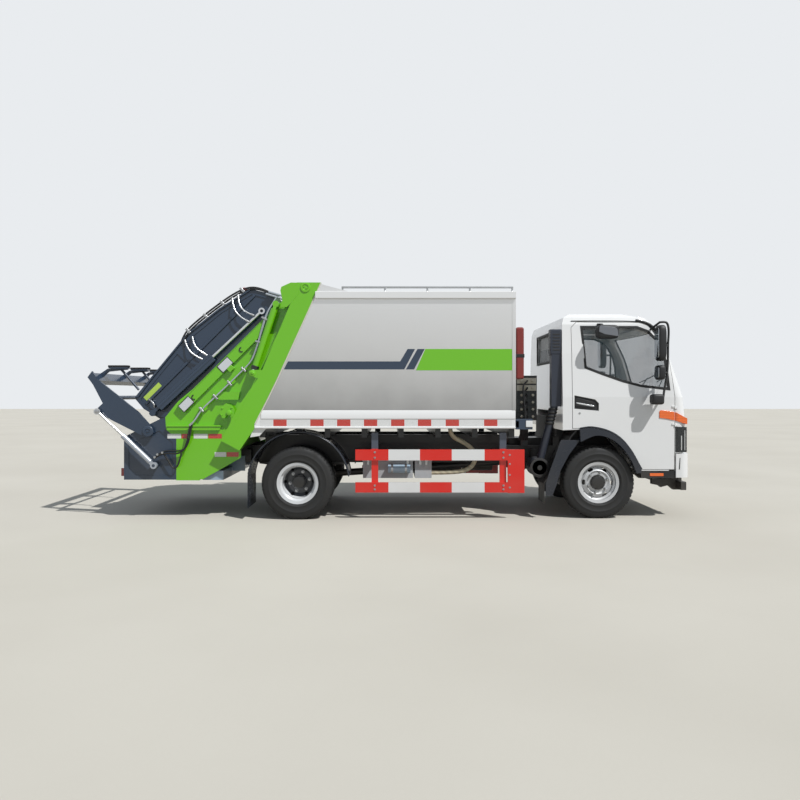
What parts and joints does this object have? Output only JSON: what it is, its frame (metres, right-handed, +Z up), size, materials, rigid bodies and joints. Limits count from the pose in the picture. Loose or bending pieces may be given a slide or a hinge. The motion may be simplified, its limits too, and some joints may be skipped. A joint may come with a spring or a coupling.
{
  "type": "rear-loading compactor garbage truck",
  "caption": "Two-axle forward-control lorry with a smooth refuse box, lifting tailgate with hopper, packing carriage and scraper, and a rear bin lifter.",
  "frame": {"origin": "on the ground under the middle of the vehicle's overall length and width", "axes": "+X forward, +Y to the vehicle's left, +Z up"},
  "size_m": [6.8, 2.4, 2.623],
  "materials": {
    "chassis_black": "satin black chassis paint",
    "white_paint": "gloss white two-pack paint",
    "silver_paint": "silver-grey metallic paint on steel sheet",
    "green_paint": "gloss bright green paint",
    "slate_paint": "semi-gloss dark slate paint",
    "guard_red_white": "red and white warning paint in blocks",
    "tyre": "moulded black tyre rubber",
    "wheel_silver": "silver baked wheel enamel",
    "chrome_steel": "hard-chromed polished rod",
    "bare_steel": "zinc-plated steel tube",
    "glass": "tinted safety glass",
    "black_plastic": "grained black moulded plastic",
    "grey_plastic": "grained grey moulded plastic",
    "tank_paint": "pale blue tank paint",
    "valve_grey": "painted valve castings",
    "cast_iron": "raw casting",
    "lamp_clear": "clear moulded lens over a dark housing",
    "lamp_red": "red moulded lens",
    "seat_fabric": "woven dark grey seat fabric"
  },
  "bodies": {
    "root": {"chassis_frame": "chassis_black", "front_axle": "chassis_black", "rear_axle": "chassis_black", "engine_block": "cast_iron", "drive_shaft": "chassis_black", "fuel_tank": "chassis_black", "battery_boxes": "grey_plastic", "air_tank": "tank_paint", "exhaust": "bare_steel", "side_guards": "guard_red_white", "rear_mudguards": "black_plastic", "air_intake": "black_plastic", "valve_block": "valve_grey", "cab_shell": "white_paint", "cab_glass": "glass", "cab_trim": "black_plastic", "bumper": "white_paint", "cab_lamps": "lamp_clear", "grille": "black_plastic", "seats": "seat_fabric", "dashboard": "grey_plastic", "steering_wheel": "black_plastic", "body_shell": "silver_paint", "body_frame": "white_paint", "subframe": "chassis_black", "suction_hose": "black_plastic", "drip_tank": "tank_paint", "body_posts": "green_paint", "roof_rails": "bare_steel"},
    "door_right": {"door_right": "white_paint", "door_glass_right": "glass", "mirrors_right": "black_plastic"},
    "knuckle_right": {"knuckle_right": "cast_iron"},
    "wheel_front_right": {"tyre_front_right": "tyre", "wheel_front_right": "wheel_silver"},
    "wheels_rear_right": {"tyres_rear_right": "tyre", "wheel_rear_right": "wheel_silver"},
    "door_left": {"door_left": "white_paint", "door_glass_left": "glass", "mirrors_left": "black_plastic"},
    "knuckle_left": {"knuckle_left": "cast_iron"},
    "wheel_front_left": {"tyre_front_left": "tyre", "wheel_front_left": "wheel_silver"},
    "wheels_rear_left": {"tyres_rear_left": "tyre", "wheel_rear_left": "wheel_silver"},
    "ejector": {"ejector": "slate_paint"},
    "packer": {"packer": "green_paint", "hopper": "slate_paint", "tail_lamps": "lamp_red"},
    "carriage": {"carriage": "slate_paint"},
    "scraper": {"scraper": "slate_paint"},
    "lifter": {"lifter": "slate_paint"},
    "lift_barrels": {"lift_barrels": "green_paint"},
    "lift_rods": {"lift_rods": "chrome_steel"},
    "scraper_barrels": {"scraper_barrels": "slate_paint"},
    "scraper_rods": {"scraper_rods": "chrome_steel"},
    "lifter_barrels": {"lifter_barrels": "slate_paint"},
    "lifter_rods": {"lifter_rods": "chrome_steel"}
  },
  "joints": [
    {"name": "door_right_hinge", "type": "hinge", "parent": "root", "child": "door_right", "pos_m": [3.147, -0.967, 1.4], "axis": [0, 0, 1], "range_deg": [0, 70]},
    {"name": "steer_right", "type": "hinge", "parent": "root", "child": "knuckle_right", "pos_m": [2.31, -0.72, 0.4025], "axis": [0, 0, 1], "range_deg": [-32, 32]},
    {"name": "wheel_front_right_spin", "type": "hinge", "parent": "knuckle_right", "child": "wheel_front_right", "pos_m": [2.31, -0.828, 0.4025], "axis": [0, 1, 0], "continuous": true},
    {"name": "wheels_rear_right_spin", "type": "hinge", "parent": "root", "child": "wheels_rear_right", "pos_m": [-1.05, -0.78, 0.4025], "axis": [0, 1, 0], "continuous": true},
    {"name": "door_left_hinge", "type": "hinge", "parent": "root", "child": "door_left", "pos_m": [3.147, 0.967, 1.4], "axis": [0, 0, -1], "range_deg": [0, 70]},
    {"name": "steer_left", "type": "hinge", "parent": "root", "child": "knuckle_left", "pos_m": [2.31, 0.72, 0.4025], "axis": [0, 0, 1], "range_deg": [-32, 32]},
    {"name": "wheel_front_left_spin", "type": "hinge", "parent": "knuckle_left", "child": "wheel_front_left", "pos_m": [2.31, 0.828, 0.4025], "axis": [0, 1, 0], "continuous": true},
    {"name": "wheels_rear_left_spin", "type": "hinge", "parent": "root", "child": "wheels_rear_left", "pos_m": [-1.05, 0.78, 0.4025], "axis": [0, 1, 0], "continuous": true},
    {"name": "ejector_slide", "type": "slide", "parent": "root", "child": "ejector", "axis": [-1, 0, 0], "range_m": [0, 1.75]},
    {"name": "tailgate_hinge", "type": "hinge", "parent": "root", "child": "packer", "pos_m": [-0.956, 0, 2.568], "axis": [0, 1, 0], "range_deg": [0, 80]},
    {"name": "carriage_slide", "type": "slide", "parent": "packer", "child": "carriage", "axis": [0.7071, 0, 0.7071], "range_m": [0, 0.45]},
    {"name": "scraper_hinge", "type": "hinge", "parent": "carriage", "child": "scraper", "pos_m": [-2.45, 0, 1.14], "axis": [0, 1, 0], "range_deg": [0, 95]},
    {"name": "lifter_hinge", "type": "hinge", "parent": "packer", "child": "lifter", "pos_m": [-2.726, 0, 0.978], "axis": [0, 1, 0], "range_deg": [-63, 0]},
    {"name": "lift_barrels_turn", "type": "hinge", "parent": "packer", "child": "lift_barrels", "pos_m": [-1.287, 0, 2.391], "axis": [0, 1, 0], "range_deg": [-84.22, 0]},
    {"name": "lift_rods_slide", "type": "slide", "parent": "lift_barrels", "child": "lift_rods", "axis": [-0.3125, 0, -0.9499], "range_m": [0, 0.4923]},
    {"name": "scraper_barrels_turn", "type": "hinge", "parent": "scraper", "child": "scraper_barrels", "pos_m": [-2.701, 0, 1.18], "axis": [0, 1, 0], "range_deg": [-99.88, 0]},
    {"name": "scraper_rods_slide", "type": "slide", "parent": "scraper_barrels", "child": "scraper_rods", "axis": [0.7307, 0, 0.6827], "range_m": [-0.3774, 0]},
    {"name": "lifter_barrels_turn", "type": "hinge", "parent": "packer", "child": "lifter_barrels", "pos_m": [-2.648, 0, 0.599], "axis": [0, 1, 0], "range_deg": [-45.96, 0]},
    {"name": "lifter_rods_slide", "type": "slide", "parent": "lifter_barrels", "child": "lifter_rods", "axis": [-0.7225, 0, 0.6914], "range_m": [-0.3525, 0]}
  ],
  "couplings": [
    {"joint": "steer_right", "follows": "steer_left", "ratio": 1},
    {"joint": "lift_barrels_turn", "follows": "tailgate_hinge", "ratio": -1.0296},
    {"joint": "lift_rods_slide", "follows": "tailgate_hinge", "m_per_rad": 0.34427},
    {"joint": "scraper_barrels_turn", "follows": "scraper_hinge", "ratio": -1.0287},
    {"joint": "scraper_rods_slide", "follows": "scraper_hinge", "m_per_rad": -0.22197},
    {"joint": "lifter_barrels_turn", "follows": "lifter_hinge", "ratio": 0.71208},
    {"joint": "lifter_rods_slide", "follows": "lifter_hinge", "m_per_rad": 0.31253}
  ]
}
